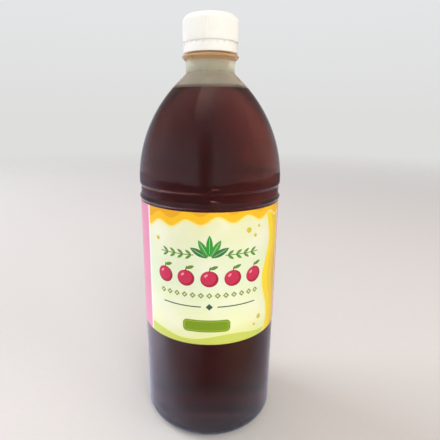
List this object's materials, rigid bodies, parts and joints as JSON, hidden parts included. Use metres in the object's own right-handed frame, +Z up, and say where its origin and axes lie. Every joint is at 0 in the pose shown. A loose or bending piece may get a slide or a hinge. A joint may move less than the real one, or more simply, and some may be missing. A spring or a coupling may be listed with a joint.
{
  "type": "vinegar bottle",
  "caption": "Clear plastic bottle of dark brown vinegar with a tall rounded shoulder, a white screw cap and a printed wrap-around label; it stands on its base.",
  "frame": {"origin": "middle of the base, on the plane that the standing ring rests on", "axes": "+Z up along the bottle's axis to the cap; -Y is the front of the label"},
  "size_m": [0.0842, 0.0842, 0.2442],
  "materials": {
    "clear_pet": "clear blown PET, glossy",
    "vinegar": "dark brown clear liquid",
    "label_film": "printed film, soft gloss",
    "white_polypropylene": "moulded, satin"
  },
  "bodies": {
    "root": {"bottle": "clear_pet", "vinegar": "vinegar", "label": "label_film", "cap": "white_polypropylene"}
  },
  "joints": []
}
